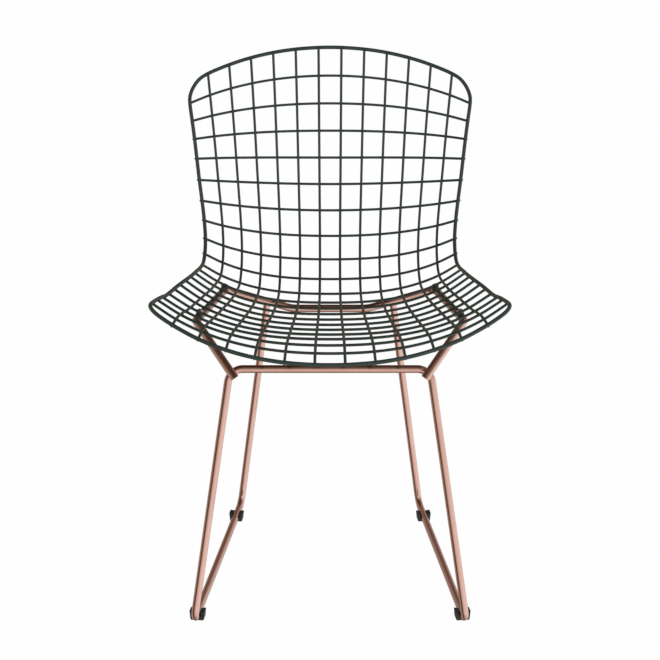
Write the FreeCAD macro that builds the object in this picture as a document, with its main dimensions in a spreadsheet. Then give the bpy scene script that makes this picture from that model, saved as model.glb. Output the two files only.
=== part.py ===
"""Wire mesh chair: a welded steel wire basket on a bent steel rod base.

Millimetres. X is the sitter's left to right as seen from the front, Y runs
from the front edge to the back, Z is up and the floor is Z = 0.
The basket is one curved surface. Its middle line is a chain of tangent arcs
from the front edge up to the top of the back, and its sides are dished
towards the sitter. Every wire follows that surface at its own layer height.
"""
import FreeCAD, Part
import math
import os

from FreeCAD import Vector

doc = FreeCAD.newDocument("WireMeshChair")
sheet = doc.addObject("Spreadsheet::Sheet", "Sizes")

SIZES = [
    # wire and rod stock
    ("rim_diameter", 6.0),
    ("mesh_diameter", 4.2),
    ("base_diameter", 11.5),
    ("cradle_diameter", 12.5),
    ("weld_gap", 0.15),
    ("touch_gap", 0.3),
    # middle line of the basket, from the front edge to the top of the back
    ("front_edge_depth", 289.9),
    ("front_edge_height", 429.5),
    ("front_edge_angle", 6.2),
    ("lip_arc", 139.0),
    ("lip_angle", -15.9),
    ("seat_arc", 262.5),
    ("seat_angle", 4.8),
    ("crease_arc", 194.0),
    ("crease_angle", 73.6),
    ("lumbar_arc", 68.5),
    ("lumbar_angle", 14.2),
    ("back_angle", 8.5),
    # spacing of the wires that run across, the front cell is the long one
    ("front_cell", 51.8),
    ("seat_cell", 36.4),
    ("back_cell", 46.4),
    # half width of the basket at six stations from the top to the front
    ("half_width_top", 232.5),
    ("half_width_upper", 219.5),
    ("half_width_lumbar", 206.5),
    ("half_width_crease", 214.5),
    ("half_width_seat", 239.5),
    ("half_width_front", 263.5),
    ("width_bulge", 0.045),
    # how far the sides stand up towards the sitter
    ("dish_top", 28.0),
    ("dish_upper", 45.0),
    ("dish_lumbar", 44.5),
    ("dish_crease", 57.0),
    ("dish_seat", 49.0),
    ("dish_front", 31.5),
    ("dish_power", 2.7),
    # how far the sides run ahead of the middle, along the surface
    ("sweep_top", 55.5),
    ("sweep_upper", -6.0),
    ("sweep_lumbar", -13.5),
    ("sweep_crease", -5.5),
    ("sweep_seat", -66.0),
    ("sweep_front", -122.0),
    # rim corners, as shares of a cell and of the half width
    ("top_corner_rows", 1.0),
    ("top_corner_share", 0.14),
    ("front_corner_rows", 0.45),
    ("front_corner_share", 0.06),
    ("front_tip", 4.5),
    ("end_overhang", 1.5),
    # base rod: the front crossbar hangs so many rows from the top under the basket, the
    # front feet stand out from the front ends of the rails, the rear feet in from the rear
    ("crossbar_rows", 18.12),
    ("crossbar_drop", 45.0),
    ("crossbar_half", 145.5),
    ("front_foot_lead", 75.0),
    ("front_foot_outset", 1.8),
    ("rear_foot_trail", 19.9),
    ("rear_foot_inset", 17.9),
    ("crossbar_bend", 22.0),
    ("foot_bend", 18.0),
    # cradle rod: cut front ends, arms, side rails and rear crossbar
    ("cradle_end_lead", 37.7),
    ("cradle_end_inset", 9.5),
    ("rail_run_front", 10.0),
    ("rail_run_rear", 14.7),
    ("rear_bar_rows", 9.96),
    ("rear_bar_drop", 25.8),
    ("rear_bar_half", 62.0),
    ("rear_leg_share", 0.63),
    ("rail_bend", 14.0),
    ("rear_bar_bend", 60.0),
    # fixing of the basket on the side rails, in rows from the top
    ("mount_share_rear", 0.785),
    ("mount_share_front", 0.8),
    ("mount_rear_rows", 10.75),
    ("mount_front_rows", 16.5),
    ("mount_bar_diameter", 5.0),
    ("tab_margin", 1.0),
    ("tab_diameter", "=max(spacer_diameter; bolt_head_diameter) + 2 * tab_margin"),
    ("tab_thickness", 3.0),
    ("spacer_height", 3.0),
    ("spacer_diameter", 11.0),
    ("saddle_depth", 3.1),
    ("bolt_diameter", 5.0),
    ("bolt_head_diameter", 9.5),
    ("bolt_head_top", 5.6),
    ("bolt_head_edge", 1.0),
    ("bolt_head_height", 2.8),
    ("bolt_reach", 8.5),
    ("bolt_end_gap", 0.5),
    ("bolt_clearance", 0.1),
    ("saddle_clearance", 0.2),
    ("cutter_overrun", 1.0),
    # glides under the runners
    ("glide_sole", 3.55),
    ("runner_height", "=base_diameter / 2 + glide_sole"),
    ("glide_length", 15.0),
    ("glide_wall", 4.4),
    ("glide_flare", 1.1),
    ("glide_corner", 2.0),
    ("glide_ear_rise", 5.2),
    ("glide_lip_angle", 46.0),
    ("glide_clearance", 0.1),
    ("front_glide_run", 1.5),
    ("rear_glide_run", 19.0),
]

# Each wire, rod and small round part has flat sides, few enough to keep the model light.
MESH_SIDES = 8
RIM_SIDES = 10
ROD_SIDES = 16
SMALL_SIDES = 10
BEND_STEP = math.radians(17)
TOP_CORNER_STEPS = 5
FRONT_CORNER_STEPS = 3
BORE_STEPS = 12

WIRES_ALONG = 12
WIRES_ACROSS = 20
FRONT_ROW = WIRES_ACROSS + 1
CELLS_WIDE = WIRES_ALONG + 1
CREASE_ROWS = range(7, 11)
STATIONS = ("top", "upper", "lumbar", "crease", "seat", "front")

for line, (alias, value) in enumerate(SIZES, start=1):
    sheet.set("A%d" % line, alias)
    sheet.set("B%d" % line, str(value))
    sheet.setAlias("B%d" % line, alias)
doc.recompute()


def size(alias):
    """A driving dimension, read from the sheet."""
    return float(sheet.get(alias))


# The basket surface

def row_length(row):
    """Length of the middle line from the front edge to a row.

    Row 0 is the top rim and FRONT_ROW the front rim. The cells grow evenly
    from the seat to the back, and the front cell has its own length.
    """
    ahead = FRONT_ROW - row
    if ahead <= 1:
        return ahead * size("front_cell")
    cells = ahead - 1
    growth = (size("back_cell") - size("seat_cell")) / (WIRES_ACROSS - 1)
    return size("front_cell") + cells * size("seat_cell") + growth * cells * (cells - 1) / 2


def middle_line(row):
    """Y, Z and slope in radians of the middle line at a row."""
    arcs = [(size(part + "_arc"), math.radians(size(part + "_angle")))
            for part in ("lip", "seat", "crease", "lumbar")]
    rest = row_length(0) - sum(length for length, turn in arcs)
    arcs.append((rest, math.radians(size("back_angle"))))
    y, z = -size("front_edge_depth"), size("front_edge_height")
    slope = math.radians(size("front_edge_angle"))
    left = row_length(row)
    for number, (length, turn) in enumerate(arcs):
        last = number == len(arcs) - 1
        step = left if last else min(left, length)
        bend = turn * step / length
        chord = step * math.sin(bend / 2) / (bend / 2) if bend else step
        y += chord * math.cos(slope + bend / 2)
        z += chord * math.sin(slope + bend / 2)
        slope += bend
        left -= step
        if left == 0:
            break
    return y, z, slope


def station_value(kind, row):
    """A size given at the six stations, carried smoothly from one to the next."""
    known = [size("%s_%s" % (kind, station)) for station in STATIONS]
    known = [2 * known[0] - known[1]] + known + [2 * known[-1] - known[-2]]
    place = row / FRONT_ROW * (len(STATIONS) - 1)
    first = min(max(int(place), 0), len(STATIONS) - 2)
    u = place - first
    a, b, c, d = known[first:first + 4]
    return b + u / 2 * (c - a + u * (2 * a - 5 * b + 4 * c - d + u * (3 * (b - c) + d - a)))


def below_middle(row, half, drop):
    """A point on the left, a half width from the middle line and a drop below it."""
    y, z, slope = middle_line(row)
    return Vector(-half, y, z - drop)


def surface_point(row, share):
    """A point of the basket surface. The share is -1 at the left rim and 1 at the right."""
    y, z, slope = middle_line(row)
    side = abs(share)
    x = share * station_value("half_width", row) * (1 + size("width_bulge") * (1 - side ** 2))
    dish = station_value("dish", row) * side ** size("dish_power")
    sweep = station_value("sweep", row) * side ** 2
    y += -math.sin(slope) * dish - math.cos(slope) * sweep
    z += math.cos(slope) * dish - math.sin(slope) * sweep
    return Vector(x, y, z)


def surface_normal(row, share):
    """Unit normal of the basket surface, towards the sitter."""
    step = 0.01
    along = surface_point(row + step, share) - surface_point(row - step, share)
    across = surface_point(row, share + step) - surface_point(row, share - step)
    return along.cross(across).normalize()


def layer_point(row, share, height):
    """A point that stands off the surface of the wires across by a height."""
    return surface_point(row, share) + surface_normal(row, share) * height


def wire_share(number):
    """Place of a wire that runs front to back, 1 to WIRES_ALONG, as a share of the half width."""
    return (2 * number - CELLS_WIDE) / CELLS_WIDE


# Wires and rods

def mitre(ring, ahead, corner, normal):
    """Carry a ring of points along a straight run onto the plane through a corner."""
    return [point + ahead * ((corner - point).dot(normal) / ahead.dot(normal)) for point in ring]


def tube_rings(points, radius, sides, up, start_plane=None, end_plane=None):
    """Sections of a wire that runs straight from weld to weld, mitred at each point.

    The flat sides lie at the wire's radius, the first of them towards up.
    """
    runs = [(after - before).normalize() for before, after in zip(points, points[1:])]
    side = runs[0].cross(up).normalize()
    up = side.cross(runs[0])
    reach = radius / math.cos(math.pi / sides)
    ring = []
    for number in range(sides):
        angle = 2 * math.pi * (number + 0.5) / sides
        ring.append(points[0] + (up * math.cos(angle) + side * math.sin(angle)) * reach)
    planes = [start_plane or runs[0]]
    planes += [before + after for before, after in zip(runs, runs[1:])]
    planes.append(end_plane or runs[-1])
    rings = []
    for point, plane, run in zip(points, planes, runs[:1] + runs):
        ring = mitre(ring, run, point, plane)
        rings.append(ring)
    return rings


def ring_faces(rings):
    """The flat faces between each ring and the next."""
    faces = []
    for ring, following in zip(rings, rings[1:]):
        for first, second, third, fourth in zip(ring, ring[1:] + ring[:1],
                                                following[1:] + following[:1], following):
            faces.append(flat_face([first, second, third, fourth]))
    return faces


def flat_face(corners):
    return Part.Face(Part.makePolygon(corners + corners[:1]))


def add_shape(name, shape):
    piece = doc.addObject("Part::Feature", name)
    piece.Shape = shape
    return piece


def solid_tube(rings):
    """A closed solid through the sections, with a flat cut at both ends."""
    faces = ring_faces(rings) + [flat_face(rings[0]), flat_face(rings[-1])]
    return Part.Solid(Part.makeShell(faces))


def mesh_wire(name, points, up):
    """One mesh wire, welded to each wire that it crosses."""
    return add_shape(name, solid_tube(tube_rings(points, size("mesh_diameter") / 2, MESH_SIDES, up)))


def bend_reach(before, corner, after, radius):
    """How far from its corner a bend starts."""
    return radius / math.tan((before - corner).getAngle(after - corner) / 2)


def bent_path(corners, radii):
    """Points of straight runs between corners, with each inner corner bent to its radius."""
    points = [corners[0]]
    for before, corner, after, radius in zip(corners, corners[1:], corners[2:], radii):
        back = (before - corner).normalize()
        ahead = (after - corner).normalize()
        half_angle = back.getAngle(ahead) / 2
        inward = (back + ahead).normalize()
        onward = (ahead - back).normalize()
        centre = corner + inward * (radius / math.sin(half_angle))
        turn = math.pi - 2 * half_angle
        steps = math.ceil(turn / BEND_STEP)
        for step in range(steps + 1):
            angle = turn * (step / steps - 0.5)
            arm = onward * math.sin(angle) - inward * math.cos(angle)
            points.append(centre + arm * radius)
    points.append(corners[-1])
    return points


def symmetric_tube(points, radius, sides, up, start_plane=None):
    """A tube made as its left half, up to the plane X = 0, and the mirror image.

    With a start plane the two halves also meet at their first points, and
    without one those are cut ends.
    """
    rings = tube_rings(points, radius, sides, up, start_plane, Vector(1, 0, 0))
    half = ring_faces(rings)
    if not start_plane:
        half.append(flat_face(rings[0]))
    other = [face.mirror(Vector(0, 0, 0), Vector(1, 0, 0)) for face in half]
    return Part.Solid(Part.makeShell(half + other))


def bent_rod(name, corners, radii, diameter):
    """A rod of one stock size, given by the corners of its left half."""
    points = bent_path(corners, radii)
    return add_shape(name, symmetric_tube(points, size(diameter) / 2, ROD_SIDES, Vector(1, 0, 0)))


def small_bar(name, diameter, length, placement, spare=""):
    """A short round bar of a named diameter, with a spare amount on its radius if need be."""
    bar = doc.addObject("Part::Prism", name)
    bar.Polygon = SMALL_SIDES
    bar.setExpression("Circumradius", "(Sizes.%s / 2 %s) / cos(%g deg)"
                      % (diameter, spare, 180 / SMALL_SIDES))
    bar.Height = length
    bar.Placement = placement
    return bar


def cut(name, base, tools):
    """A piece with its tools cut out of it."""
    tool = doc.addObject("Part::MultiFuse", name + "_tools")
    tool.Shapes = tools
    result = doc.addObject("Part::Cut", name)
    result.Base = base
    result.Tool = tool
    return result


def mirrored(point):
    return Vector(-point.x, point.y, point.z)


pieces = {}


def keep(name, piece):
    """Name a finished piece. The name is its label and its file name."""
    piece.Label = name
    pieces[name] = piece


# The mesh. The wires across lie on the surface itself. The wires along lie on
# them, on the sitter's side, and the rim lies on the ends of the wires across.

wire_step = size("mesh_diameter") + size("weld_gap")
rim_step = (size("mesh_diameter") + size("rim_diameter")) / 2 + size("weld_gap")
TOP_RIM_HEIGHT = wire_step - rim_step


def wire_across(row):
    """From rim to rim, under the rim at both ends."""
    end = rim_share(row) + size("end_overhang") / station_value("half_width", row)
    shares = [-end] + [wire_share(n) for n in range(1, WIRES_ALONG + 1)] + [end]
    points = [surface_point(row, share) for share in shares]
    return mesh_wire("across_%02d" % row, points, surface_normal(row, -1))


def along_height(row):
    """Layer height of a wire along. In its last cell it dives under the front rim."""
    if row <= WIRES_ACROSS:
        return wire_step
    return wire_step * (FRONT_ROW - row)


def wire_along(number):
    """From the top rim over the wires across to the front rim, bent down under it.

    It turns at each wire that it crosses, and also in mid-cell where the seat
    turns up into the back.
    """
    share = wire_share(number)
    over = size("end_overhang") / row_pitch(0)
    tip = size("front_tip") / size("front_cell")
    crease = [row + 0.5 for row in CREASE_ROWS]
    rows = sorted([-over] + list(range(1, FRONT_ROW + 1)) + crease + [FRONT_ROW + tip])
    points = [layer_point(row, share, along_height(min(row, FRONT_ROW))) for row in rows]
    return mesh_wire("along_%02d" % number, points, surface_normal(0, share))


def row_pitch(row):
    return row_length(row) - row_length(row + 1)


def rim_share(row):
    """Where the rim lies at a row, as a share of the half width. Its corners are rounded."""
    front_start = FRONT_ROW - size("front_corner_rows")
    if row < size("top_corner_rows"):
        corner, way = size("top_corner_share"), 1 - row / size("top_corner_rows")
    elif row > front_start:
        corner, way = size("front_corner_share"), (row - front_start) / size("front_corner_rows")
    else:
        return 1
    return 1 - corner + corner * math.sqrt(max(1 - way ** 2, 0))


def rim_height(row):
    """Layer height of the rim: at the top under the wires along, from row 1 on over the others."""
    return TOP_RIM_HEIGHT + (rim_step - TOP_RIM_HEIGHT) * min(row, 1)


def rim_rows():
    """Rows at which the side of the rim turns: at each wire that ends under it, and in its corners."""
    rows = set(range(1, FRONT_ROW))
    for step in range(1, TOP_CORNER_STEPS + 1):
        angle = math.pi / 2 * step / TOP_CORNER_STEPS
        rows.add(round(size("top_corner_rows") * (1 - math.cos(angle)), 6))
    for step in range(FRONT_CORNER_STEPS):
        angle = math.pi / 2 * step / FRONT_CORNER_STEPS
        rows.add(round(FRONT_ROW - size("front_corner_rows") * (1 - math.sin(angle)), 6))
    return sorted(rows)


def rim_half():
    """Corner points of the left half of the rim, from the top centre to the front centre.

    Along the top and the front it turns a little at each wire that it crosses.
    """
    crossings = [0] + [-wire_share(number) for number in range(WIRES_ALONG // 2, 0, -1)]
    points = [layer_point(0, -share, TOP_RIM_HEIGHT) for share in crossings]
    for row in rim_rows():
        points.append(layer_point(row, -rim_share(row), rim_height(row)))
    points.append(layer_point(FRONT_ROW, -rim_share(FRONT_ROW), rim_step))
    for share in reversed(crossings):
        points.append(layer_point(FRONT_ROW, -share, rim_step))
    return points


def rim_wire():
    """The closed edge rod."""
    return add_shape("rim", symmetric_tube(rim_half(), size("rim_diameter") / 2, RIM_SIDES,
                                           surface_normal(0, 0), Vector(1, 0, 0)))


keep("rim", rim_wire())
for number in range(1, WIRES_ALONG + 1):
    keep("wire_along_%02d" % number, wire_along(number))
for row in range(1, WIRES_ACROSS + 1):
    keep("wire_across_%02d" % row, wire_across(row))


# The fixing of the basket. Under the wires across, between the first two wires
# along, a bar with a round tab at each end is bolted to the cradle's side rail.

bar_drop = (size("mesh_diameter") + size("mount_bar_diameter")) / 2 + size("weld_gap")
tab_top = bar_drop - size("tab_thickness") / 2
spacer_top = bar_drop + size("tab_thickness") / 2
rail_drop = spacer_top + size("spacer_height") + size("cradle_diameter") / 2
MOUNT_ROWS = (size("mount_rear_rows"), size("mount_front_rows"))


def mount_share(row):
    """Where the bar lies at a row, as a share of the basket's half width."""
    way = (row - MOUNT_ROWS[0]) / (MOUNT_ROWS[1] - MOUNT_ROWS[0])
    return size("mount_share_rear") * (1 - way) + size("mount_share_front") * way


def under_wires(side, row, drop):
    """Placement under the straight wire between the first two wires along, a drop below it.

    Its Z axis points at the sitter. The side is -1 for the left and 1 for the right.
    """
    outer, inner = -wire_share(1), -wire_share(2)
    part_way = (outer - mount_share(row)) / (outer - inner)
    welds = [surface_point(row, side * share) for share in (outer, inner)]
    normal = surface_normal(row, side * mount_share(row))
    place = welds[0] + (welds[1] - welds[0]) * part_way - normal * drop
    return FreeCAD.Placement(place, FreeCAD.Rotation(Vector(0, 0, 1), normal))


def bolt_hole(name, side, row, top, depth):
    """The cutter for a bolt's hole, from a little over the top down through a depth."""
    place = under_wires(side, row, top + depth)
    length = depth + size("cutter_overrun")
    return small_bar(name, "bolt_diameter", length, place, "+ Sizes.bolt_clearance")


def bolt_places():
    return [(side, row) for side in (-1, 1) for row in MOUNT_ROWS]


def mount_bar(side, word):
    """The bar under the wires, with a tab round each bolt."""
    name = "bar_" + word
    ends = [under_wires(side, row, bar_drop).Base for row in MOUNT_ROWS]
    rows = range(math.floor(MOUNT_ROWS[0]) + 1, math.ceil(MOUNT_ROWS[1]))
    points = [under_wires(side, row, bar_drop).Base for row in rows]
    clear = size("tab_diameter") / 2 - size("tab_margin")
    inset = clear / math.cos(math.pi / SMALL_SIDES) + size("bolt_clearance")
    points.insert(0, ends[0] + (points[0] - ends[0]).normalize() * inset)
    points.append(ends[1] + (points[-1] - ends[1]).normalize() * inset)
    rings = tube_rings(points, size("mount_bar_diameter") / 2, MESH_SIDES,
                       surface_normal(rows[0], side * mount_share(rows[0])))
    solids = [add_shape(name + "_bar", solid_tube(rings))]
    holes = []
    for number, row in enumerate(MOUNT_ROWS, start=1):
        solids.append(small_bar("%s_tab_%d" % (name, number), "tab_diameter",
                                size("tab_thickness"), under_wires(side, row, spacer_top)))
        holes.append(bolt_hole("%s_hole_%d" % (name, number), side, row, tab_top,
                               size("tab_thickness") + size("cutter_overrun")))
    joined = doc.addObject("Part::MultiFuse", name + "_joined")
    joined.Shapes = solids
    return cut(name, joined, holes)


def saddle_spacers():
    """Four spacers between the tabs and the rails, hollowed to sit over the rod."""
    spacers = []
    height = size("spacer_height") + size("saddle_depth")
    for number, (side, row) in enumerate(bolt_places(), start=1):
        name = "spacer_%d" % number
        block = small_bar(name + "_block", "spacer_diameter", height - size("bolt_clearance"),
                          under_wires(side, row, spacer_top + height))
        rail_start, rail_end = rail_corners(side)
        along_rail = FreeCAD.Rotation(Vector(0, 0, 1), rail_end - rail_start)
        rail = small_bar(name + "_rail", "cradle_diameter", (rail_end - rail_start).Length,
                         FreeCAD.Placement(rail_start, along_rail), "+ Sizes.saddle_clearance")
        hole = bolt_hole(name + "_hole", side, row, spacer_top, height + size("cutter_overrun"))
        spacers.append(cut(name, block, [rail, hole]))
    group = doc.addObject("Part::Compound", "spacers")
    group.Links = spacers
    return group


def turned_solid(outline, sides, placement):
    """A solid turned about its Z axis, from pairs of radius and height, lowest first."""
    rings = []
    for radius, height in outline:
        reach = radius / math.cos(math.pi / sides)
        ring = []
        for number in range(sides):
            angle = 2 * math.pi * number / sides
            corner = Vector(reach * math.cos(angle), reach * math.sin(angle), height)
            ring.append(placement.multVec(corner))
        rings.append(ring)
    return solid_tube(rings)


def mount_bolts():
    """Four button head bolts, through tab and spacer into the rail."""
    shank = size("bolt_diameter") / 2
    head = size("bolt_head_diameter") / 2
    reach = rail_drop - size("cradle_diameter") / 2 - tab_top + size("bolt_reach")
    outline = [(shank, -reach), (shank, 0), (head, 0), (head, size("bolt_head_edge")),
               (size("bolt_head_top") / 2, size("bolt_head_height"))]
    bolts = []
    for side, row in bolt_places():
        seat = under_wires(side, row, tab_top - size("bolt_clearance"))
        bolts.append(turned_solid(outline, SMALL_SIDES, seat))
    return add_shape("bolts", Part.makeCompound(bolts))


# The cradle, one bent rod that carries the basket: an arm from the front
# crossbar, a side rail, a rear arm, the rear crossbar, and the same on the right.

def crossbar_corner():
    return below_middle(size("crossbar_rows"), size("crossbar_half"), size("crossbar_drop"))


def rear_bar_corner():
    return below_middle(size("rear_bar_rows"), size("rear_bar_half"), size("rear_bar_drop"))


def rail_corners(side):
    """Front and rear corners of a side rail's axis, where its bends would meet unrounded.

    Both bends stay clear of the spacers, which sit on the straight of the rail.
    """
    rear, front = [under_wires(side, row, rail_drop).Base for row in MOUNT_ROWS]
    ends = [crossbar_corner(), rear_bar_corner()]
    if side > 0:
        ends = [mirrored(point) for point in ends]
    ahead = (rear - front).normalize()
    run_front = size("rail_run_front") + bend_reach(ends[0], front, rear, size("rail_bend"))
    run_rear = size("rail_run_rear") + bend_reach(ends[1], rear, front, size("rail_bend"))
    return front - ahead * run_front, rear + ahead * run_rear


def cradle_end():
    """The cut end of the left front arm, which lies on the front crossbar and runs past it."""
    front = rail_corners(-1)[0]
    bar = crossbar_corner()
    rise = front.z - bar.z
    touch = (size("base_diameter") + size("cradle_diameter")) / 2 + size("touch_gap")
    slope = math.atan2(rise, front.y - bar.y) - math.asin(touch / math.hypot(rise, front.y - bar.y))
    run = front.y - bar.y + size("cradle_end_lead")
    return Vector(bar.x + size("cradle_end_inset"), front.y - run, front.z - run * math.tan(slope))


def cradle_rod():
    rail_front, rail_rear = rail_corners(-1)
    corner = rear_bar_corner()
    corners = [cradle_end(), rail_front, rail_rear, corner, Vector(0, corner.y, corner.z)]
    radii = [size("rail_bend"), size("rail_bend"), size("rear_bar_bend")]
    rod = bent_rod("cradle_solid", corners, radii, "cradle_diameter")
    top = rail_drop - size("cradle_diameter") / 2
    depth = size("bolt_reach") + size("bolt_end_gap")
    holes = []
    for number, (side, row) in enumerate(bolt_places(), start=1):
        holes.append(bolt_hole("cradle_hole_%d" % number, side, row, top, depth))
    return cut("cradle", rod, holes)


# The base, one bent rod: a rear leg welded under the cradle's rear arm, a
# runner on the floor, a front leg, the front crossbar, and the same on the right.

def rear_arm():
    """Direction and length of the left rear arm, and the point of its axis over the rear leg."""
    rail_rear = rail_corners(-1)[1]
    arm = rear_bar_corner() - rail_rear
    return arm, rail_rear + arm * size("rear_leg_share")


def base_corners():
    """Corners of the left half: top of the rear leg, rear foot, front foot and crossbar.

    The whole cut end of the rear leg stays below the arm's axis, so that the
    hollow for the arm leaves no loose slivers on it.
    """
    rail_front, rail_rear = rail_corners(-1)
    bar = crossbar_corner()
    height = size("runner_height")
    rear_foot = Vector(rail_rear.x + size("rear_foot_inset"),
                       rear_bar_corner().y + size("rear_foot_trail"), height)
    front_foot = Vector(rail_front.x - size("front_foot_outset"),
                        bar.y - size("front_foot_lead"), height)
    arm, weld = rear_arm()
    leg = (rear_foot - weld).normalize()
    tilt = abs(math.pi / 2 - leg.getAngle(arm))
    set_back = size("base_diameter") / 2 / math.cos(math.pi / ROD_SIDES) * math.tan(tilt)
    return [weld + leg * set_back, rear_foot, front_foot, bar]


def base_rod():
    corners = base_corners()
    bar = crossbar_corner()
    corners.append(Vector(0, bar.y, bar.z))
    radii = [size("foot_bend"), size("foot_bend"), size("crossbar_bend")]
    rod = bent_rod("base_solid", corners, radii, "base_diameter")
    arm, weld = rear_arm()
    copes = []
    for side in (-1, 1):
        start = weld - arm / 2
        towards = arm
        if side > 0:
            start, towards = mirrored(start), mirrored(towards)
        turn = FreeCAD.Rotation(Vector(0, 0, 1), towards)
        name = "base_cope_" + ("left" if side < 0 else "right")
        copes.append(small_bar(name, "cradle_diameter", arm.Length,
                               FreeCAD.Placement(start, turn), "+ Sizes.saddle_clearance"))
    return cut("base", rod, copes)


keep("cradle_rod", cradle_rod())
keep("base_rod", base_rod())
keep("mount_bar_left", mount_bar(-1, "left"))
keep("mount_bar_right", mount_bar(1, "right"))
keep("saddle_spacers", saddle_spacers())
keep("mount_bolts", mount_bolts())


# The glides. Each is a clip pushed on the runner from below, with a flat sole and
# an ear on either side. The lips of the ears reach a little over the rod.

def glide_place(side, end):
    """Placement of a glide on the runner, clear of the bend at its front or rear end."""
    leg_top, rear_foot, front_foot, bar_corner = base_corners()
    if end == "front":
        leg_end, corner, other = bar_corner, front_foot, rear_foot
    else:
        leg_end, corner, other = leg_top, rear_foot, front_foot
    run = bend_reach(leg_end, corner, other, size("foot_bend")) + size(end + "_glide_run")
    place = corner + (other - corner).normalize() * (run + size("glide_length") / 2)
    turn = FreeCAD.Rotation(Vector(0, 1, 0), rear_foot - front_foot)
    if side > 0:
        place = mirrored(place)
        turn = turn.inverted()
    return FreeCAD.Placement(Vector(place.x, place.y, 0), turn)


def glide_outline():
    """Corners of a glide's section, with the rod's axis over the middle of the sole."""
    height = size("runner_height")
    lip = math.radians(size("glide_lip_angle"))
    bore = size("base_diameter") / 2 / math.cos(math.pi / ROD_SIDES) + size("glide_clearance")
    turn = (math.pi + 2 * lip) / BORE_STEPS
    reach = bore / math.cos(turn / 2)
    hollow = []
    for step in range(BORE_STEPS + 1):
        angle = lip - turn * step
        hollow.append((reach * math.cos(angle), height + reach * math.sin(angle)))
    foot = bore + size("glide_wall")
    ear = foot + size("glide_flare")
    corner = size("glide_corner")
    return hollow + [(-ear, height + size("glide_ear_rise")), (-foot, corner), (corner - foot, 0),
                     (foot - corner, 0), (foot, corner), (ear, height + size("glide_ear_rise"))]


def add_outline(sketch, corners):
    """A closed outline of straight lines, from pairs in the sketch's own axes."""
    for first, second in zip(corners, corners[1:] + corners[:1]):
        sketch.addGeometry(Part.LineSegment(Vector(*first, 0), Vector(*second, 0)))


def glide(name, placement):
    body = doc.addObject("PartDesign::Body", name)
    sketch = body.newObject("Sketcher::SketchObject", name + "_section")
    planes = [plane for plane in body.Origin.OriginFeatures if plane.Role == "XZ_Plane"]
    sketch.AttachmentSupport = [(planes[0], "")]
    sketch.MapMode = "FlatFace"
    add_outline(sketch, glide_outline())
    pad = body.newObject("PartDesign::Pad", name + "_pad")
    pad.Profile = sketch
    pad.setExpression("Length", "Sizes.glide_length")
    pad.Midplane = True
    body.Placement = placement
    return body


for side, word in ((-1, "left"), (1, "right")):
    for end in ("front", "rear"):
        name = "%s_%s" % (end, word)
        keep("glide_" + name, glide(name, glide_place(side, end)))

doc.recompute()

for item in doc.Objects:
    if "Invalid" in item.State or "Error" in item.State:
        raise RuntimeError("not built: " + item.Label)
for name, piece in pieces.items():
    if piece.Shape.isNull() or not piece.Shape.isValid():
        raise RuntimeError("not a valid solid: " + name)

os.makedirs("parts", exist_ok=True)
for name, piece in pieces.items():
    piece.Shape.exportStep("parts/%s.step" % name)
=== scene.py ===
import bmesh
import bpy
import math
from mathutils import Matrix, Vector


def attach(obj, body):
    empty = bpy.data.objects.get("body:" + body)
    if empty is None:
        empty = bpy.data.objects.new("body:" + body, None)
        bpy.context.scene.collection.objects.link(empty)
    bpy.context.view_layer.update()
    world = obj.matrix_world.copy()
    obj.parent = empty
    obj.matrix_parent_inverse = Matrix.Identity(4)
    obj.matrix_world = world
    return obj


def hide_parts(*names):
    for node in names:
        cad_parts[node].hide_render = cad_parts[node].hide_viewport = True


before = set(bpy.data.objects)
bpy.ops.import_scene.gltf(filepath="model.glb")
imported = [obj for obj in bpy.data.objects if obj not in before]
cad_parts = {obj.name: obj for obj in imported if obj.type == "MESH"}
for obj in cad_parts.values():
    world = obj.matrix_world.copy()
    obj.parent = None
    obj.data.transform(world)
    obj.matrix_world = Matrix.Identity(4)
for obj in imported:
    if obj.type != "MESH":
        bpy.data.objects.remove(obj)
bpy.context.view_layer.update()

# The camera. It stands as for the photograph: level from side to side, a little
# above the back of the chair and looking down on the seat, with a long lens.
CAMERA_PLACE = (0.0, -2.47643, 1.26002)
CAMERA_TILT = math.radians(19.5)
CAMERA_LENS = 92.727
SENSOR_WIDTH = 36.0
CAMERA_REACH = 60.0

camera = bpy.data.objects.new("studio_camera", bpy.data.cameras.new("studio_camera"))
bpy.context.scene.collection.objects.link(camera)
camera.location = CAMERA_PLACE
camera.rotation_euler = (math.pi / 2 - CAMERA_TILT, 0.0, 0.0)
camera.data.lens = CAMERA_LENS
camera.data.sensor_width = SENSOR_WIDTH
camera.data.clip_end = CAMERA_REACH
bpy.context.scene.camera = camera
bpy.context.scene.view_settings.view_transform = "Standard"


# The studio. A white floor that runs out of the picture, white all round, and two
# large soft lamps. Metal shows a room instead, with bright walls, a dark ceiling and
# a dark door left of the camera, which gives the plated rods their dark line.
FLOOR_REACH = 12.0
FLOOR_WHITE = (0.92, 0.92, 0.92, 1.0)
FLOOR_GLOW = 0.985
ROOM_LIGHT = ((0.0, 0.80), (0.42, 1.0), (0.60, 0.85), (0.80, 0.42), (1.0, 0.25))
ROOM_WARMTH = (1.18, 1.30)
WALL_SHADES = ((0.0, 0.24), (0.08, 0.38), (0.15, 0.48), (0.24, 0.42), (0.30, 0.20), (0.34, 0.05),
               (0.386, 0.18), (0.41, 0.42), (0.436, 0.62), (0.47, 0.76), (0.53, 0.88), (0.60, 1.0),
               (0.85, 1.0), (0.92, 0.64), (1.0, 0.24))
HEIGHT_SHADES = ((0.0, 0.50), (0.12, 0.92), (0.30, 1.0), (0.42, 1.0), (0.52, 0.90), (0.67, 0.66),
                 (0.80, 0.42), (0.89, 0.28), (1.0, 0.12))
LAMPS = (("key_lamp", (-2.0, -2.3, 1.3), 2.2, 42.0), ("fill_lamp", (2.4, -1.8, 1.0), 2.4, 28.0))
LAMP_AIM = Vector((0.0, 0.0, 0.42))


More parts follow.
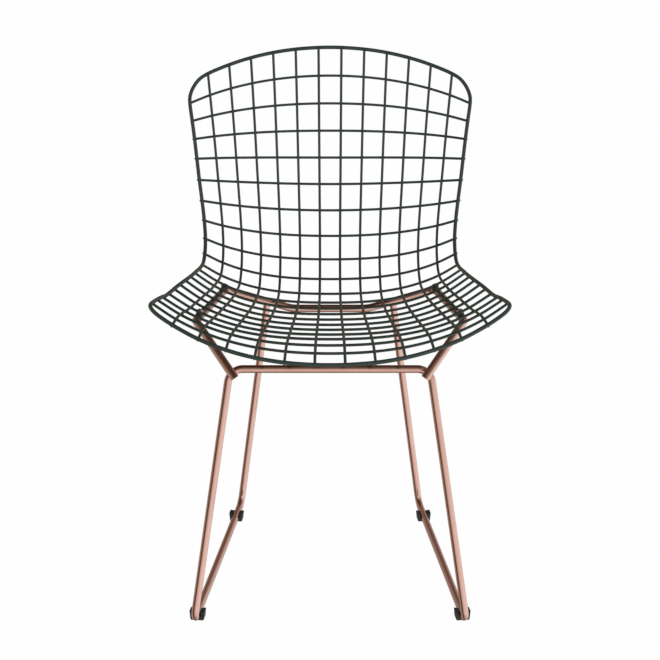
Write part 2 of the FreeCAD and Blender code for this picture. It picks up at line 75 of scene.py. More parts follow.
def new_material(name):
    """A node material with nothing in it but its shader. Returns it, its nodes and its shader."""
    material = bpy.data.materials.new(name)
    material.use_nodes = True
    nodes = material.node_tree.nodes
    shader = nodes["Principled BSDF"]
    return material, nodes, shader


def join(tree, source, target):
    """A link between two sockets."""
    tree.links.new(source, target)


def maths(tree, operation, first, second=0.5, third=0.5):
    """A Math node on sockets or numbers. Returns its output."""
    node = tree.nodes.new("ShaderNodeMath")
    node.operation = operation
    for socket, value in zip(node.inputs, (first, second, third)):
        if isinstance(value, (int, float)):
            socket.default_value = value
        else:
            join(tree, value, socket)
    return node.outputs[0]


def seen_white(tree):
    """1 for rays from the camera and for those that a mirror or glass sends on, 0 for the rest."""
    path = tree.nodes.new("ShaderNodeLightPath")
    sent_on = maths(tree, "MAXIMUM", path.outputs["Is Glossy Ray"],
                    path.outputs["Is Transmission Ray"])
    return maths(tree, "MAXIMUM", path.outputs["Is Camera Ray"], sent_on)


floor_mesh = bpy.data.meshes.new("studio_floor")
floor_mesh.from_pydata([(-FLOOR_REACH, -FLOOR_REACH, 0), (FLOOR_REACH, -FLOOR_REACH, 0),
                        (FLOOR_REACH, FLOOR_REACH, 0), (-FLOOR_REACH, FLOOR_REACH, 0)],
                       [], [(0, 1, 2, 3)])
floor = bpy.data.objects.new("studio_floor", floor_mesh)
bpy.context.scene.collection.objects.link(floor)
floor.visible_glossy = False
floor_paint, nodes, shader = new_material("studio_floor_paint")
shader.inputs["Base Color"].default_value = FLOOR_WHITE
shader.inputs["Roughness"].default_value = 0.9
shader.inputs["Specular IOR Level"].default_value = 0.1
tree = floor_paint.node_tree
glow = nodes.new("ShaderNodeEmission")
mix = nodes.new("ShaderNodeMixShader")
join(tree, maths(tree, "MULTIPLY", seen_white(tree), FLOOR_GLOW), mix.inputs[0])
join(tree, shader.outputs[0], mix.inputs[1])
join(tree, glow.outputs[0], mix.inputs[2])
join(tree, mix.outputs[0], nodes["Material Output"].inputs["Surface"])
floor_mesh.materials.append(floor_paint)

room = bpy.data.worlds.new("studio_room")
bpy.context.scene.world = room
room.use_nodes = True
tree = room.node_tree
nodes = tree.nodes
background = nodes["Background"]
direction = nodes.new("ShaderNodeTexCoord")
axes = nodes.new("ShaderNodeSeparateXYZ")
join(tree, direction.outputs["Generated"], axes.inputs[0])
turn = maths(tree, "ARCTAN2", axes.outputs["X"], maths(tree, "MULTIPLY", axes.outputs["Y"], -1.0))
spread = maths(tree, "MULTIPLY_ADD", turn, 0.5 / math.pi, 0.5)
height = maths(tree, "MULTIPLY_ADD", axes.outputs["Z"], 0.5, 0.5)


def shaded(tree, value, shades):
    """A grey that follows a value through given pairs of place and shade."""
    node = tree.nodes.new("ShaderNodeValToRGB")
    while len(node.color_ramp.elements) < len(shades):
        node.color_ramp.elements.new(0.5)
    for element, (place, shade) in zip(node.color_ramp.elements, shades):
        element.position = place
        element.color = (shade, shade, shade, 1.0)
    join(tree, value, node.inputs[0])
    return node.outputs["Color"]


shade = maths(tree, "MULTIPLY", shaded(tree, spread, WALL_SHADES),
              shaded(tree, height, HEIGHT_SHADES))
reflected = nodes.new("ShaderNodeCombineColor")
join(tree, shade, reflected.inputs["Red"])
for channel, power in zip(("Green", "Blue"), ROOM_WARMTH):
    join(tree, maths(tree, "POWER", shade, power), reflected.inputs[channel])
path = nodes.new("ShaderNodeLightPath")
white = nodes.new("ShaderNodeMix")
white.data_type = "RGBA"
join(tree, shaded(tree, height, ROOM_LIGHT), white.inputs["A"])
white.inputs["B"].default_value = (1.0, 1.0, 1.0, 1.0)
join(tree, maths(tree, "MAXIMUM", path.outputs["Is Camera Ray"],
                 path.outputs["Is Transmission Ray"]), white.inputs["Factor"])
shown = nodes.new("ShaderNodeMix")
shown.data_type = "RGBA"
join(tree, path.outputs["Is Glossy Ray"], shown.inputs["Factor"])
join(tree, white.outputs["Result"], shown.inputs["A"])
join(tree, reflected.outputs["Color"], shown.inputs["B"])
join(tree, shown.outputs["Result"], background.inputs["Color"])

for name, place, size, power in LAMPS:
    lamp = bpy.data.objects.new(name, bpy.data.lights.new(name, "AREA"))
    lamp.data.size = size
    lamp.data.energy = power
    lamp.location = place
    lamp.rotation_euler = (LAMP_AIM - Vector(place)).to_track_quat("-Z", "Y").to_euler()
    lamp.visible_glossy = False
    bpy.context.scene.collection.objects.link(lamp)


# The base rod. One steel rod, 11.5 mm thick, bent cold into two rear legs, two
# runners on the floor, two front legs and the front crossbar, then polished and
# plated in copper.
BASE_DIAMETER = 0.0115
REAR_LEG_TOP = Vector((-0.10191, 0.14645, 0.38072))
REAR_FOOT = Vector((-0.15196, 0.16827, 0.0093))
FRONT_FOOT = Vector((-0.2020, -0.24453, 0.0093))
CROSSBAR_CORNER = Vector((-0.1455, -0.16953, 0.38303))
FOOT_BEND = 0.018
CROSSBAR_BEND = 0.022
ROD_SIDES = 40
BEND_STEP = math.radians(6)
CREASE = math.radians(38)
PATTERN_RANGE = (0.3, 0.7)
PLATE_RELIEF = 0.000012
COPPER = (0.785, 0.515, 0.440, 1.0)
COPPER_DEEP = (0.700, 0.425, 0.350, 1.0)


def mirrored(point):
    """A point's or direction's mirror image on the other side of the chair."""
    return Vector((-point.x, point.y, point.z))


def bent_path(corners, radii):
    """The centre line of a rod: straight runs between corners, each inner corner bent."""
    line = [corners[0]]
    for before, corner, after, radius in zip(corners, corners[1:], corners[2:], radii):
        back, ahead = (before - corner).normalized(), (after - corner).normalized()
        half = back.angle(ahead) / 2
        inward, onward = (back + ahead).normalized(), (ahead - back).normalized()
        centre = corner + inward * (radius / math.sin(half))
        turn = math.pi - 2 * half
        steps = max(2, math.ceil(turn / BEND_STEP))
        for step in range(steps + 1):
            angle = turn * (step / steps - 0.5)
            line.append(centre + (onward * math.sin(angle) - inward * math.cos(angle)) * radius)
    line.append(corners[-1])
    return line


def line_object(name, lines, closed=False, widths=None):
    """An object that holds nothing but paths, as vertices and edges, for a tree to work on."""
    points, edges = [], []
    for line in lines:
        first = len(points)
        points += line
        edges += [(first + n, first + n + 1) for n in range(len(line) - 1)]
        if closed:
            edges.append((len(points) - 1, first))
    mesh = bpy.data.meshes.new(name)
    mesh.from_pydata(points, edges, [])
    shares = mesh.attributes.new("width", "FLOAT", "POINT")
    shares.data.foreach_set("value", widths or [1.0] * len(points))
    source = bpy.data.objects.new(name, mesh)
    bpy.context.scene.collection.objects.link(source)
    return source


def new_tree(name, inputs):
    """An empty Geometry Nodes tree with its inputs, given as name, socket type and value."""
    tree = bpy.data.node_groups.new(name, "GeometryNodeTree")
    tree.interface.new_socket("Geometry", in_out="INPUT", socket_type="NodeSocketGeometry")
    for label, kind, value in inputs:
        socket = tree.interface.new_socket(label, in_out="INPUT", socket_type=kind)
        if value is not None:
            socket.default_value = value
    tree.interface.new_socket("Geometry", in_out="OUTPUT", socket_type="NodeSocketGeometry")
    return tree, tree.nodes.new("NodeGroupInput"), tree.nodes.new("NodeGroupOutput")


def grown(name, source, tree, values):
    """The plain mesh that a tree makes of a source object, which is then removed."""
    modifier = source.modifiers.new("shape", "NODES")
    modifier.node_group = tree
    for item in tree.interface.items_tree:
        if item.in_out == "INPUT" and item.name in values:
            modifier[item.identifier] = values[item.name]
    seen = source.evaluated_get(bpy.context.evaluated_depsgraph_get())
    mesh = bpy.data.meshes.new_from_object(seen)
    mesh.name = name
    piece = bpy.data.objects.new(name, mesh)
    bpy.context.scene.collection.objects.link(piece)
    bpy.data.objects.remove(source)
    return piece


def step(tree, kind, **values):
    """A node with its properties and its plain input values."""
    node = tree.nodes.new(kind)
    for key, value in values.items():
        if key in node.bl_rna.properties:
            setattr(node, key, value)
        else:
            node.inputs[key.replace("_", " ")].default_value = value
    return node


def named_value(tree, name, kind="FLOAT"):
    """The value of a named attribute, as a field."""
    node = step(tree, "GeometryNodeInputNamedAttribute", data_type=kind)
    node.inputs["Name"].default_value = name
    return node.outputs["Attribute"]


def finish_tree(tree, shape, given, result, crease=CREASE):
    """Realize Instances, smooth faces with crisp cut edges, the material and the output."""
    real = step(tree, "GeometryNodeRealizeInstances")
    smooth = step(tree, "GeometryNodeSetShadeSmooth", domain="FACE")
    crisp = step(tree, "GeometryNodeSetShadeSmooth", domain="EDGE")
    crisp.inputs["Shade Smooth"].default_value = False
    angle = step(tree, "GeometryNodeInputMeshEdgeAngle")
    sharp = step(tree, "FunctionNodeCompare", data_type="FLOAT", operation="GREATER_THAN")
    sharp.inputs["B"].default_value = crease
    paint = step(tree, "GeometryNodeSetMaterial")
    join(tree, shape, real.inputs["Geometry"])
    join(tree, real.outputs[0], smooth.inputs["Geometry"])
    join(tree, smooth.outputs[0], crisp.inputs["Geometry"])
    join(tree, angle.outputs["Unsigned Angle"], sharp.inputs["A"])
    join(tree, sharp.outputs["Result"], crisp.inputs["Selection"])
    join(tree, crisp.outputs[0], paint.inputs["Geometry"])
    join(tree, given.outputs["Material"], paint.inputs["Material"])
    join(tree, paint.outputs[0], result.inputs["Geometry"])


# A round bar along a path. It keeps each point's place round the bar and along it,
# so that drawing and polishing lines can follow the metal.
bar_tree, given, result = new_tree("round_bar", (("Diameter", "NodeSocketFloat", 0.01),
                                                 ("Sides", "NodeSocketInt", 32),
                                                 ("Material", "NodeSocketMaterial", None)))
line = step(bar_tree, "GeometryNodeMeshToCurve")
ring = step(bar_tree, "GeometryNodeCurvePrimitiveCircle")
half = step(bar_tree, "ShaderNodeMath", operation="MULTIPLY")
half.inputs[1].default_value = 0.5
tube = step(bar_tree, "GeometryNodeCurveToMesh")
tube.inputs["Fill Caps"].default_value = True
along = step(bar_tree, "GeometryNodeCaptureAttribute", domain="POINT")
along.capture_items.new("FLOAT", "Run")
around = step(bar_tree, "GeometryNodeCaptureAttribute", domain="POINT")
around.capture_items.new("VECTOR", "Ring")
length = step(bar_tree, "GeometryNodeSplineParameter")
place = step(bar_tree, "GeometryNodeInputPosition")
split = step(bar_tree, "ShaderNodeSeparateXYZ")
pack = step(bar_tree, "ShaderNodeCombineXYZ")
store = step(bar_tree, "GeometryNodeStoreNamedAttribute", data_type="FLOAT_VECTOR", domain="POINT")
store.inputs["Name"].default_value = "metal_place"
join(bar_tree, given.outputs["Geometry"], line.inputs["Mesh"])
join(bar_tree, given.outputs["Diameter"], half.inputs[0])
join(bar_tree, half.outputs[0], ring.inputs["Radius"])
join(bar_tree, given.outputs["Sides"], ring.inputs["Resolution"])
join(bar_tree, line.outputs[0], along.inputs["Geometry"])
join(bar_tree, length.outputs["Length"], along.inputs["Run"])
join(bar_tree, ring.outputs["Curve"], around.inputs["Geometry"])
join(bar_tree, place.outputs[0], around.inputs["Ring"])
join(bar_tree, along.outputs["Geometry"], tube.inputs["Curve"])
join(bar_tree, around.outputs["Geometry"], tube.inputs["Profile Curve"])
join(bar_tree, named_value(bar_tree, "width"), tube.inputs["Scale"])
join(bar_tree, around.outputs["Ring"], split.inputs[0])
join(bar_tree, split.outputs["X"], pack.inputs["X"])
join(bar_tree, split.outputs["Y"], pack.inputs["Y"])
join(bar_tree, along.outputs["Run"], pack.inputs["Z"])
join(bar_tree, tube.outputs[0], store.inputs["Geometry"])
join(bar_tree, pack.outputs[0], store.inputs["Value"])
finish_tree(bar_tree, store.outputs[0], given, result)


def noise(tree, vector, scale, detail=2.0, roughness=0.5):
    """A noise pattern on a vector. Returns its value."""
    node = tree.nodes.new("ShaderNodeTexNoise")
    node.inputs["Scale"].default_value = scale
    node.inputs["Detail"].default_value = detail
    node.inputs["Roughness"].default_value = roughness
    join(tree, vector, node.inputs["Vector"])
    return node.outputs["Fac"]


def between(tree, value, low, high):
    """A pattern's value, carried from its usual range onto low to high."""
    node = tree.nodes.new("ShaderNodeMapRange")
    for label, number in zip(("From Min", "From Max", "To Min", "To Max"),
                             (*PATTERN_RANGE, low, high)):
        node.inputs[label].default_value = number
    join(tree, value, node.inputs["Value"])
    return node.outputs[0]


def blended(tree, value, first, second):
    """A colour between two, by a value."""
    node = tree.nodes.new("ShaderNodeMix")
    node.data_type = "RGBA"
    for label, colour in (("A", first), ("B", second)):
        if isinstance(colour, tuple):
            node.inputs[label].default_value = colour
        else:
            join(tree, colour, node.inputs[label])
    join(tree, value, node.inputs["Factor"])
    return node.outputs["Result"]


def relief(tree, shader, height, depth):
    """Fine relief from a height pattern. Its depth is in metres."""
    node = tree.nodes.new("ShaderNodeBump")
    node.inputs["Strength"].default_value = 1.0
    node.inputs["Distance"].default_value = depth
    join(tree, height, node.inputs["Height"])
    join(tree, node.outputs[0], shader.inputs["Normal"])


copper_plate, nodes, shader = new_material("copper_plate")
tree = copper_plate.node_tree
shader.inputs["Metallic"].default_value = 1.0
metal = nodes.new("ShaderNodeAttribute")
metal.attribute_name = "metal_place"
drawn = nodes.new("ShaderNodeMapping")
drawn.inputs["Scale"].default_value = (1.0, 1.0, 0.035)
join(tree, metal.outputs["Vector"], drawn.inputs["Vector"])
coords = nodes.new("ShaderNodeTexCoord").outputs["Object"]
lines = noise(tree, drawn.outputs[0], 2600.0, 3.0, 0.6)
clouds = noise(tree, coords, 22.0, 3.0, 0.55)
pits = noise(tree, coords, 1500.0, 2.0, 0.5)
join(tree, blended(tree, between(tree, clouds, 0.0, 0.55), COPPER, COPPER_DEEP),
     shader.inputs["Base Color"])
haze = between(tree, clouds, 0.0, 0.03)
join(tree, maths(tree, "ADD", between(tree, lines, 0.085, 0.125), haze), shader.inputs["Roughness"])
relief(tree, shader, maths(tree, "ADD", lines, maths(tree, "MULTIPLY", pits, 0.6)), PLATE_RELIEF)

base_corners = [REAR_LEG_TOP, REAR_FOOT, FRONT_FOOT, CROSSBAR_CORNER]
base_corners += [mirrored(point) for point in reversed(base_corners)]
base_radii = [FOOT_BEND, FOOT_BEND, CROSSBAR_BEND, CROSSBAR_BEND, FOOT_BEND, FOOT_BEND]
base_line = bent_path(base_corners, base_radii)
base = grown("base_rod_plated", line_object("base_line", [base_line]), bar_tree,
             {"Diameter": BASE_DIAMETER, "Sides": ROD_SIDES, "Material": copper_plate})
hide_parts("base_rod")
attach(base, "root")


# The cradle rod. A second bent rod, 12.5 mm thick, carries the basket: it starts
# on the front crossbar, cut at a slant that faces down, runs up to the seat, along
# under its side as a rail, and down behind to a low rear crossbar.
CRADLE_DIAMETER = 0.0125
CRADLE_END = Vector((-0.1360, -0.20723, 0.38295))
RAIL_FRONT = Vector((-0.20020, -0.08142, 0.42667))
RAIL_REAR = Vector((-0.16986, 0.14318, 0.40248))
REAR_BAR_CORNER = Vector((-0.0620, 0.14837, 0.36793))
RAIL_BEND = 0.014
REAR_BAR_BEND = 0.060
CUT_CHAMFER = 0.0006
CUT_REACH = 0.0009
CUT_FACE = Vector((0.560, -0.269, -0.783))

cradle_corners = [CRADLE_END, RAIL_FRONT, RAIL_REAR, REAR_BAR_CORNER]
cradle_corners += [mirrored(point) for point in reversed(cradle_corners)]
cradle_radii = [RAIL_BEND, RAIL_BEND, REAR_BAR_BEND, REAR_BAR_BEND, RAIL_BEND, RAIL_BEND]
cradle_line = bent_path(cradle_corners, cradle_radii)
cut_run = (cradle_line[1] - cradle_line[0]).normalized() * CUT_CHAMFER
cradle_line.insert(1, cradle_line[0] + cut_run)
cradle_line.insert(-1, cradle_line[-1] + mirrored(cut_run))
cut_width = 1.0 - 2 * CUT_CHAMFER / CRADLE_DIAMETER
cradle_widths = [cut_width] + [1.0] * (len(cradle_line) - 2) + [cut_width]
cradle = grown("cradle_rod_plated", line_object("cradle_line", [cradle_line], widths=cradle_widths),
               bar_tree, {"Diameter": CRADLE_DIAMETER, "Sides": ROD_SIDES,
                          "Material": copper_plate})
cut_faces = ((CRADLE_END, CUT_FACE, cut_run.normalized()),
             (mirrored(CRADLE_END), mirrored(CUT_FACE), mirrored(cut_run).normalized()))
for vertex in cradle.data.vertices:
    for end, face, arm in cut_faces:
        off = vertex.co - end
        if off.dot(arm) < CUT_REACH and off.length < CRADLE_DIAMETER:
            vertex.co -= arm * (off.dot(face) - off.dot(arm) * arm.dot(face)) / arm.dot(face)
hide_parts("cradle_rod")
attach(cradle, "root")


# The welds between the two rods. A rippled bead runs round the top of each rear
# leg, where it is cut to fit the arm above it, and round the spot where each front
# arm lies across the crossbar. They were plated with the rods.
BEAD_DIAMETER = 0.0022
BEAD_RIPPLE = 0.0018
BEAD_SIDES = 10
BEAD_STEP = 0.0005
BEAD_SWELL = 0.5
BEAD_WAIST = 0.78
BEAD_POINTS = 48
BEAD_GAP = 0.0011
BEAD_REACH = 0.007
SEARCH_STEPS = 20


def leg_top_bead(weld, foot, arm):
    """The line round a leg where it meets the arm that it is welded under."""
    leg, arm = (foot - weld).normalized(), arm.normalized()
    side = leg.orthogonal().normalized()
    other = leg.cross(side)
    radius, reach = BASE_DIAMETER / 2, CRADLE_DIAMETER / 2
    line = []
    for number in range(BEAD_POINTS):
        angle = 2 * math.pi * number / BEAD_POINTS
        spoke = (side * math.cos(angle) + other * math.sin(angle)) * radius
        a = leg - arm * leg.dot(arm)
        b = spoke - arm * spoke.dot(arm)
        down = (-b.dot(a) + math.sqrt(b.dot(a) ** 2 - a.dot(a) * (b.dot(b) - reach ** 2))) / a.dot(a)
        line.append(weld + spoke + leg * down)
    return line


def closest(first, second):
    """The closest places of two lines, and how the lines run there."""
    best = None
    for one, two in zip(first, first[1:]):
        for share in range(SEARCH_STEPS + 1):
            point = one.lerp(two, share / SEARCH_STEPS)
            for three, four in zip(second, second[1:]):
                run = four - three
                way = max(0.0, min(1.0, (point - three).dot(run) / run.dot(run)))
                other = three + run * way
                if best is None or (other - point).length < (best[1] - best[0]).length:
                    best = point, other, (two - one).normalized(), run.normalized()
    return best


def crossing_bead(first_line, first_radius, second_line, second_radius):
    """The line round the spot where two rods lie across each other, in the groove between them.

    It stays where the groove is no wider than the bead's gap, and within the bead's reach.
    """
    point, other, first_run, second_run = closest(first_line, second_line)
    up = (other - point).normalized()
    side = first_run.cross(up).normalized()
    middle = (point + up * first_radius + other - up * second_radius) / 2
    line = []
    for number in range(BEAD_POINTS):
        angle = 2 * math.pi * number / BEAD_POINTS
        ray = first_run * math.cos(angle) + side * math.sin(angle)
        off_first = (1 - ray.dot(first_run) ** 2) / (2 * first_radius)
        off_second = (1 - ray.dot(second_run) ** 2) / (2 * second_radius)
        reach = min(BEAD_REACH, math.sqrt(BEAD_GAP / (off_first + off_second)))
        line.append(middle + ray * reach + up * (off_second - off_first) * reach ** 2 / 2)
    return line


arm = REAR_BAR_CORNER - RAIL_REAR
leg_bead = leg_top_bead(REAR_LEG_TOP, REAR_FOOT, arm)
arm_bead = crossing_bead(base_line[:len(base_line) // 2], BASE_DIAMETER / 2,
                         cradle_line[:len(cradle_line) // 2], CRADLE_DIAMETER / 2)
beads = [leg_bead, [mirrored(point) for point in leg_bead],
         arm_bead, [mirrored(point) for point in arm_bead]]

bead_tree, given, result = new_tree("weld_bead", (("Diameter", "NodeSocketFloat", 0.003),
                                                  ("Ripple", "NodeSocketFloat", 0.002),
                                                  ("Material", "NodeSocketMaterial", None)))
line = step(bead_tree, "GeometryNodeMeshToCurve")
fine = step(bead_tree, "GeometryNodeResampleCurve", mode="LENGTH")
fine.inputs["Length"].default_value = BEAD_STEP
ring = step(bead_tree, "GeometryNodeCurvePrimitiveCircle", Resolution=BEAD_SIDES)
half = step(bead_tree, "ShaderNodeMath", operation="MULTIPLY")
half.inputs[1].default_value = 0.5
run = step(bead_tree, "GeometryNodeSplineParameter")
turns = step(bead_tree, "ShaderNodeMath", operation="DIVIDE")
wave = step(bead_tree, "ShaderNodeMath", operation="PINGPONG")
wave.inputs[1].default_value = 0.5
swell = step(bead_tree, "ShaderNodeMath", operation="MULTIPLY_ADD")
swell.inputs[1].default_value = BEAD_SWELL
swell.inputs[2].default_value = BEAD_WAIST
tube = step(bead_tree, "GeometryNodeCurveToMesh")
join(bead_tree, given.outputs["Geometry"], line.inputs["Mesh"])
join(bead_tree, line.outputs[0], fine.inputs["Curve"])
join(bead_tree, given.outputs["Diameter"], half.inputs[0])
join(bead_tree, half.outputs[0], ring.inputs["Radius"])
join(bead_tree, run.outputs["Length"], turns.inputs[0])
join(bead_tree, given.outputs["Ripple"], turns.inputs[1])
join(bead_tree, turns.outputs[0], wave.inputs[0])
join(bead_tree, wave.outputs[0], swell.inputs[0])
join(bead_tree, fine.outputs[0], tube.inputs["Curve"])
join(bead_tree, ring.outputs["Curve"], tube.inputs["Profile Curve"])
join(bead_tree, swell.outputs[0], tube.inputs["Scale"])
finish_tree(bead_tree, tube.outputs[0], given, result)

rod_welds = grown("rod_welds", line_object("bead_lines", beads, closed=True), bead_tree,
                  {"Diameter": BEAD_DIAMETER, "Ripple": BEAD_RIPPLE, "Material": copper_plate})
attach(rod_welds, "root")


# The wires of the basket. Steel wire, 4.2 mm thick: twelve run from front to back
# on the sitter's side and twenty lie across behind them. Each is bent to the curve
# of the basket and spot welded at every crossing, then powder coated dark green.
ALONG_NODES = ["wire_along_%02d" % number for number in range(1, 13)]
ACROSS_NODES = ["wire_across_%02d" % number for number in range(1, 21)]
WIRE_DIAMETER = 0.0042
WIRE_SIDES = 12
WIRE_STEP = 0.005
WIRE_DOME = ((0.40, 1.0), (0.22, 0.91), (0.08, 0.70), (0.0, 0.40))
RING_EDGE = 0.0026
GREEN = (0.0225, 0.0375, 0.0292, 1.0)
GREEN_PALE = (0.0340, 0.0515, 0.0425, 1.0)
TIP_INWARD = 0.0032
TIP_DROP = 0.0041
COAT_SHINE = 0.36
COAT_RELIEF = 0.00006


def ring_centres(node):
    """The points of a wire's centre line, from end to end, as the frame has them.

    A wire's solid is a tube of flat sides. Short edges go round it, long ones along it.
    """
    shell = bmesh.new()
    shell.from_mesh(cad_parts[node].data)
    bmesh.ops.remove_doubles(shell, verts=shell.verts, dist=1e-6)
    group = {vertex: vertex for vertex in shell.verts}

    def head(vertex):
        while group[vertex] is not vertex:
            group[vertex] = group[group[vertex]]
            vertex = group[vertex]
        return vertex

    for edge in shell.edges:
        if edge.calc_length() < RING_EDGE:
            group[head(edge.verts[0])] = head(edge.verts[1])
    rings = {}
    for vertex in shell.verts:
        rings.setdefault(head(vertex), []).append(vertex.co.copy())
    near = {ring: [] for ring in rings}
    for edge in shell.edges:
        first, second = head(edge.verts[0]), head(edge.verts[1])
        if first is not second and second not in near[first]:
            near[first].append(second)
            near[second].append(first)
    ends = [ring for ring in rings if len(near[ring]) == 1]
    ring = ends[0] if ends else next(iter(rings))
    done, line = set(), []
    while ring is not None:
        done.add(ring)
        line.append(sum(rings[ring], Vector()) / len(rings[ring]))
        ring = next((other for other in near[ring] if other not in done), None)
    shell.free()
    return line


def smooth_line(points, spacing, closed=False):
    """A smooth curve through points, as a springy wire takes it, in short even steps."""
    if closed:
        known = points[-1:] + points + points[:2]
    else:
        known = [points[0] * 2 - points[1]] + points + [points[-1] * 2 - points[-2]]
    line = []
    for a, b, c, d in zip(known, known[1:], known[2:], known[3:]):
        t = [0.0]
        for one, two in ((a, b), (b, c), (c, d)):
            t.append(t[-1] + (two - one).length ** 0.5)
        steps = max(1, round((c - b).length / spacing))
        for number in range(steps):
            u = t[1] + (t[2] - t[1]) * number / steps
            ab = a.lerp(b, (u - t[0]) / (t[1] - t[0]))
            bc = b.lerp(c, (u - t[1]) / (t[2] - t[1]))
            cd = c.lerp(d, (u - t[2]) / (t[3] - t[2]))
            left = ab.lerp(bc, (u - t[0]) / (t[2] - t[0]))
            right = bc.lerp(cd, (u - t[1]) / (t[3] - t[1]))
            line.append(left.lerp(right, (u - t[1]) / (t[2] - t[1])))
    return line if closed else line + [points[-1].copy()]


def eased_ends(line, diameter, dome=WIRE_DOME):
    """A line and its widths with both ends rounded, as cut wire is after coating.

    The dome gives pairs of distance from the tip, in diameters, and share of the width.
    """
    def end(tip, inner):
        run = (inner - tip).normalized()
        return [tip + run * (diameter * back) for back, width in dome]

    first, last = end(line[0], line[1]), end(line[-1], line[-2])
    widths = [width for back, width in dome]
    return (first[::-1] + line[1:-1] + last,
            widths[::-1] + [1.0] * (len(line) - 2) + widths)


green_coat, nodes, shader = new_material("green_powder_coat")
tree = green_coat.node_tree
shader.inputs["Specular IOR Level"].default_value = COAT_SHINE
coords = nodes.new("ShaderNodeTexCoord").outputs["Object"]
peel = noise(tree, coords, 1300.0, 2.0, 0.5)
grains = noise(tree, coords, 5200.0, 2.0, 0.6)
clouds = noise(tree, coords, 28.0, 3.0, 0.55)
tone = maths(tree, "MULTIPLY", between(tree, clouds, 0.25, 0.85), between(tree, grains, 0.45, 1.0))
join(tree, blended(tree, tone, GREEN, GREEN_PALE), shader.inputs["Base Color"])
join(tree, maths(tree, "ADD", between(tree, clouds, 0.27, 0.34), between(tree, grains, -0.02, 0.03)),
     shader.inputs["Roughness"])
relief(tree, shader, maths(tree, "ADD", peel, maths(tree, "MULTIPLY", grains, 0.35)), COAT_RELIEF)

wires_along = [ring_centres(node) for node in ALONG_NODES]
wires_across = [ring_centres(node) for node in ACROSS_NODES]
wires_along = [line if line[0].z > line[-1].z else line[::-1] for line in wires_along]
wires_across = [line if line[0].x < line[-1].x else line[::-1] for line in wires_across]

# In front, each wire along stops against the rim, behind it and a little lower.
rim_corners = ring_centres("rim")
rim_ring = rim_corners + rim_corners[:1]
for wire in wires_along:
    rim_spot = closest(wire[-2:], rim_ring)[1]
    up = (rim_spot - wire[-2]).normalized()
    inward = (wire[-3] - wire[-2]).normalized()
    inward = (inward - up * inward.dot(up)).normalized()
    wire[-2:] = [rim_spot + inward * TIP_INWARD - up * TIP_DROP]


def wire_piece(name, wires, nodes):
    """One piece for all the wires that run the same way."""
    lines, widths = [], []
    for wire in wires:
        line, shares = eased_ends(smooth_line(wire, WIRE_STEP), WIRE_DIAMETER)
        lines.append(line)
        widths += shares
    piece = grown(name, line_object(name + "_lines", lines, widths=widths), bar_tree,
                  {"Diameter": WIRE_DIAMETER, "Sides": WIRE_SIDES, "Material": green_coat})
    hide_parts(*nodes)
    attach(piece, "root")


wire_piece("wires_along", wires_along, ALONG_NODES)
wire_piece("wires_across", wires_across, ACROSS_NODES)


# The rim. A closed ring of 6 mm steel rod that edges the basket. At the top of the
# back the wires along end on it. In front they end under it, and so do the wires
# across on either side.
RIM_DIAMETER = 0.0060
RIM_SIDES = 16
RIM_STEP = 0.004

rim_line = smooth_line(rim_corners, RIM_STEP, closed=True)
rim = grown("rim_coated", line_object("rim_line", [rim_line], closed=True), bar_tree,
            {"Diameter": RIM_DIAMETER, "Sides": RIM_SIDES, "Material": green_coat})
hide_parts("rim")
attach(rim, "root")


# The spot welds of the mesh. Where two wires cross, pressing and current sink them
# a little into each other, and a ring of metal is squeezed out round the spot. The
# powder coat rounds it off.
WELD_SPREAD = 0.0042
WELD_HEIGHT = 0.0017

welds = []
for wire in wires_along:
    for cross in wires_across:
        point = min(wire, key=lambda place: min((place - other).length for other in cross))
        other = min(cross, key=lambda place: (place - point).length)
        welds.append((point, other, WIRE_DIAMETER))
for wire in wires_along + wires_across:
    for end in (wire[:2], wire[-2:]):
        point, other = closest(end, rim_ring)[:2]
        welds.append((point, other, RIM_DIAMETER))

weld_mesh = bpy.data.meshes.new("weld_places")
weld_mesh.from_pydata([point.lerp(other, WIRE_DIAMETER / (WIRE_DIAMETER + width))
                       for point, other, width in welds], [], [])
upright = weld_mesh.attributes.new("upright", "FLOAT_VECTOR", "POINT")
upright.data.foreach_set("vector", [c for point, other, width in welds for c in (other - point)])
weld_places = bpy.data.objects.new("weld_places", weld_mesh)
bpy.context.scene.collection.objects.link(weld_places)

weld_tree, given, result = new_tree("spot_weld", (("Spread", "NodeSocketFloat", 0.004),
                                                  ("Height", "NodeSocketFloat", 0.002),
                                                  ("Material", "NodeSocketMaterial", None)))
drop = step(weld_tree, "GeometryNodeMeshIcoSphere", Radius=0.5, Subdivisions=2)
lean = step(weld_tree, "FunctionNodeAlignRotationToVector", axis="Z")
flat = step(weld_tree, "ShaderNodeCombineXYZ")
spots = step(weld_tree, "GeometryNodeInstanceOnPoints")
join(weld_tree, named_value(weld_tree, "upright", "FLOAT_VECTOR"), lean.inputs["Vector"])
join(weld_tree, given.outputs["Spread"], flat.inputs["X"])
join(weld_tree, given.outputs["Spread"], flat.inputs["Y"])
join(weld_tree, given.outputs["Height"], flat.inputs["Z"])
join(weld_tree, given.outputs["Geometry"], spots.inputs["Points"])
join(weld_tree, drop.outputs["Mesh"], spots.inputs["Instance"])
join(weld_tree, lean.outputs[0], spots.inputs["Rotation"])
join(weld_tree, flat.outputs[0], spots.inputs["Scale"])
finish_tree(weld_tree, spots.outputs[0], given, result, crease=math.pi)
mesh_welds = grown("mesh_welds", weld_places, weld_tree,
                   {"Spread": WELD_SPREAD, "Height": WELD_HEIGHT, "Material": green_coat})
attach(mesh_welds, "root")


